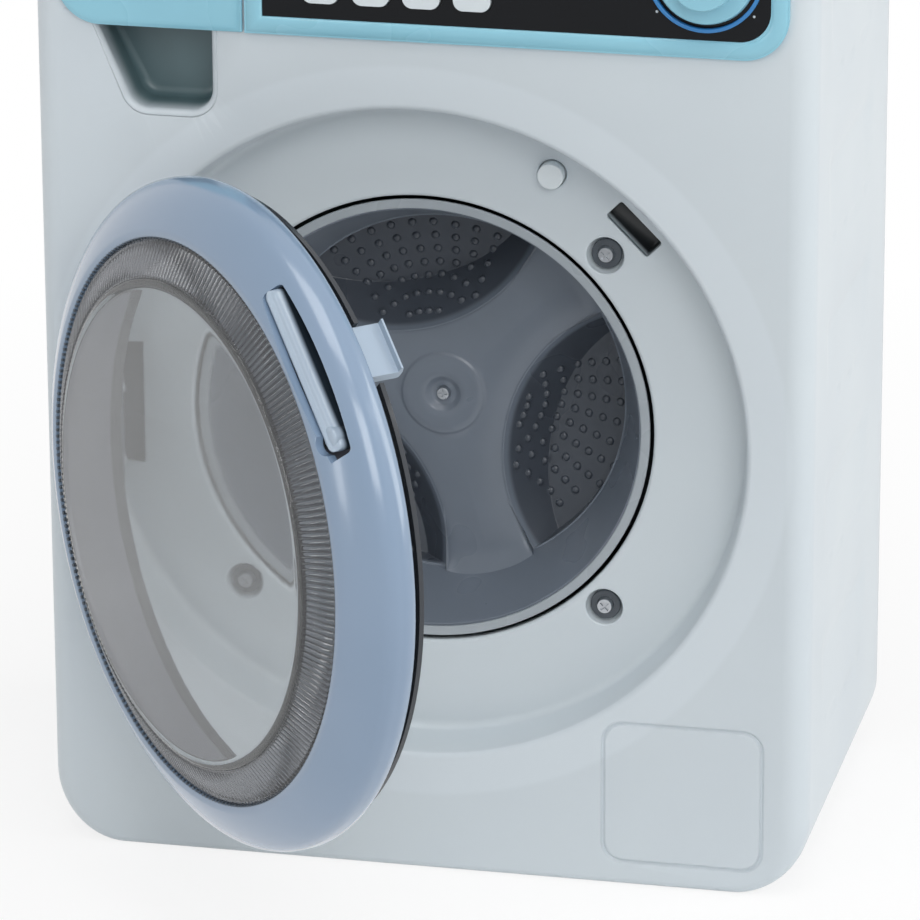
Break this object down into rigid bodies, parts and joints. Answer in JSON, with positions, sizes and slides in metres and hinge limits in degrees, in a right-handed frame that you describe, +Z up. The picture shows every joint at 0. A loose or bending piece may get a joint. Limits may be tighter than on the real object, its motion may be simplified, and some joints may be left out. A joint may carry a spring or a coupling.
{
  "type": "toy washing machine",
  "caption": "Toy front-loading washing machine with a hinged round window door, a geared drum, a control panel with knob and buttons, a pull-out drawer and a battery box.",
  "frame": {"origin": "centre of the cabinet's footprint, on the surface that it stands on", "axes": "+Z up, -Y out of the front face with the door, +X to the right seen from the front; the door is drawn as it stands open at the left"},
  "size_m": [0.21, 0.2549, 0.288],
  "materials": {
    "cabinet_plastic": "satin moulded plastic",
    "door_plastic": "glossy moulded plastic",
    "frame_plastic": "satin grey plastic",
    "smoke_clear": "smoky clear plastic, 2 mm",
    "teal_plastic": "glossy teal plastic",
    "black_lens": "black glossy clear plastic",
    "blue_plastic": "glossy blue plastic",
    "pale_plastic": "pale glossy plastic",
    "drum_plastic": "satin dark grey plastic",
    "rim_plastic": "satin light grey plastic",
    "dark_plastic": "dark plastic",
    "cup_plastic": "dark grey plastic",
    "hinge_plastic": "slate plastic",
    "gear_plastic": "natural gear plastic",
    "steel": "zinc-plated steel",
    "bush_bronze": "sintered bronze",
    "board": "circuit board laminate",
    "pad_rubber": "soft rubber",
    "display_glass": "dark display",
    "cell_wrap": "printed sleeve on a steel can"
  },
  "bodies": {
    "cabinet": {"front_shell": "cabinet_plastic", "rear_cover": "cabinet_plastic", "cover_screws": "steel", "tub": "dark_plastic", "screw_cups": "cup_plastic", "front_screws": "steel", "shaft_bush": "bush_bronze", "idler_pin": "steel", "motor": "steel", "gearbox_plate": "dark_plastic", "gearbox_screws": "steel", "panel_bezel": "teal_plastic", "panel_lens": "black_lens", "knob_ring": "blue_plastic", "selector_switch": "dark_plastic", "button_pad": "pad_rubber", "circuit_board": "board", "board_screws": "steel", "display_module": "display_glass", "speaker": "dark_plastic", "drawer_guide": "frame_plastic", "sensor_spring": "steel", "sensor_switch": "dark_plastic", "hinge_bracket": "hinge_plastic", "bracket_screws": "steel", "hinge_pin": "steel", "battery_box": "cabinet_plastic", "cells": "cell_wrap", "cell_contacts": "steel", "battery_cover": "cabinet_plastic", "battery_screw": "steel"},
    "door": {"door_ring": "door_plastic", "door_window": "smoke_clear", "door_rear_frame": "frame_plastic", "door_screws": "steel", "hinge_arm": "hinge_plastic", "arm_screws": "steel", "latch_pin": "steel", "latch_spring": "steel"},
    "latch": {"latch_lever": "door_plastic"},
    "drum": {"drum": "drum_plastic", "drum_rim": "rim_plastic", "drum_screw": "steel", "drum_shaft": "steel", "drum_gear": "gear_plastic", "gear_screw": "steel"},
    "idler": {"idler_gear": "gear_plastic"},
    "rotor": {"motor_shaft": "steel", "motor_pinion": "gear_plastic"},
    "knob": {"programme_knob": "teal_plastic", "selector_shaft": "gear_plastic"},
    "drawer": {"drawer_front": "teal_plastic", "drawer_tray": "pale_plastic"},
    "start": {"start_button": "pale_plastic"},
    "option_1": {"option_button_1": "pale_plastic"},
    "option_2": {"option_button_2": "pale_plastic"},
    "option_3": {"option_button_3": "pale_plastic"},
    "option_4": {"option_button_4": "pale_plastic"},
    "sensor": {"sensor_button": "pale_plastic"}
  },
  "joints": [
    {"name": "door_hinge", "type": "hinge", "parent": "cabinet", "child": "door", "pos_m": [-0.0994, -0.0544, 0.1242], "axis": [0, 0, -1], "range_deg": [-46.3, 48.7]},
    {"name": "latch_rock", "type": "hinge", "parent": "door", "child": "latch", "pos_m": [0.00444, -0.1674, 0.18084], "axis": [-0.4885, 0.5112, 0.7071], "range_deg": [0, 5], "stiffness_Nm_per_rad": 0.3},
    {"name": "drum_spin", "type": "hinge", "parent": "cabinet", "child": "drum", "pos_m": [-0.0026, -0.02, 0.1242], "axis": [0, 1, 0], "continuous": true},
    {"name": "idler_spin", "type": "hinge", "parent": "cabinet", "child": "idler", "pos_m": [0.02451, 0.004, 0.11433], "axis": [0, 1, 0], "continuous": true},
    {"name": "rotor_spin", "type": "hinge", "parent": "cabinet", "child": "rotor", "pos_m": [0.03392, 0.01, 0.13204], "axis": [0, 1, 0], "continuous": true},
    {"name": "knob_turn", "type": "hinge", "parent": "cabinet", "child": "knob", "pos_m": [0.076, -0.06, 0.2559], "axis": [0, 1, 0], "range_deg": [-150, 150]},
    {"name": "drawer_slide", "type": "slide", "parent": "cabinet", "child": "drawer", "axis": [0, -1, 0], "range_m": [0, 0.04]},
    {"name": "start_press", "type": "slide", "parent": "cabinet", "child": "start", "axis": [0, 1, 0], "range_m": [0, 0.0012], "stiffness_N_per_m": 400},
    {"name": "option_1_press", "type": "slide", "parent": "cabinet", "child": "option_1", "axis": [0, 1, 0], "range_m": [0, 0.0012], "stiffness_N_per_m": 400},
    {"name": "option_2_press", "type": "slide", "parent": "cabinet", "child": "option_2", "axis": [0, 1, 0], "range_m": [0, 0.0012], "stiffness_N_per_m": 400},
    {"name": "option_3_press", "type": "slide", "parent": "cabinet", "child": "option_3", "axis": [0, 1, 0], "range_m": [0, 0.0012], "stiffness_N_per_m": 400},
    {"name": "option_4_press", "type": "slide", "parent": "cabinet", "child": "option_4", "axis": [0, 1, 0], "range_m": [0, 0.0012], "stiffness_N_per_m": 400},
    {"name": "sensor_press", "type": "slide", "parent": "cabinet", "child": "sensor", "axis": [0, 1, 0], "range_m": [0, 0.002], "stiffness_N_per_m": 400, "deforming": ["sensor_spring"]}
  ],
  "couplings": [
    {"joint": "idler_spin", "follows": "drum_spin", "ratio": -5},
    {"joint": "rotor_spin", "follows": "drum_spin", "ratio": 20}
  ]
}
